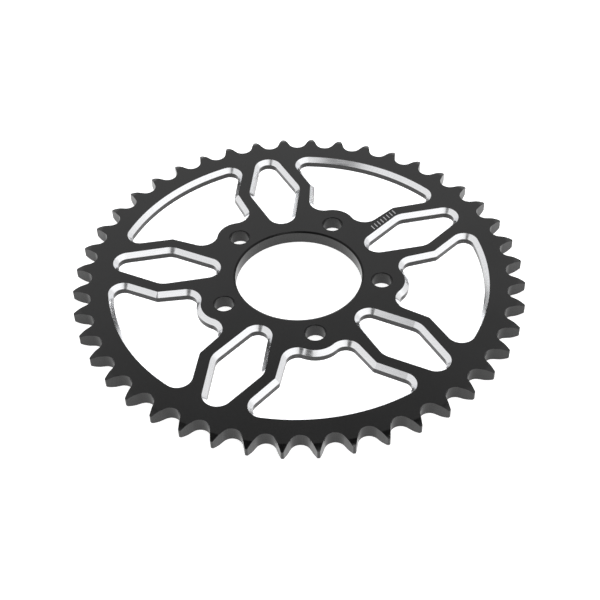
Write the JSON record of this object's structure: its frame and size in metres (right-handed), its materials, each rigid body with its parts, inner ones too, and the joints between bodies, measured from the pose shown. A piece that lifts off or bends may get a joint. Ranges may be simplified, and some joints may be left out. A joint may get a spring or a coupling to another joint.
{
  "type": "rear sprocket",
  "caption": "Flat rear chain sprocket for a light motorcycle, black with bright chamfered lightening windows, a central bore and a circle of bolt holes.",
  "frame": {"origin": "bore axis at the face that seats on the hub carrier", "axes": "+Z along the axis of rotation, away from the hub carrier; +X through one bolt hole and one tooth centre"},
  "size_m": [0.1848, 0.1848, 0.0059],
  "materials": {
    "black_anodised": "satin black anodised, milled faces",
    "bright_cut": "bare aluminium, bright milled chamfers",
    "etched_mark": "pale laser-etched mark, matt"
  },
  "bodies": {
    "root": {"sprocket_plate": "black_anodised"}
  },
  "joints": []
}
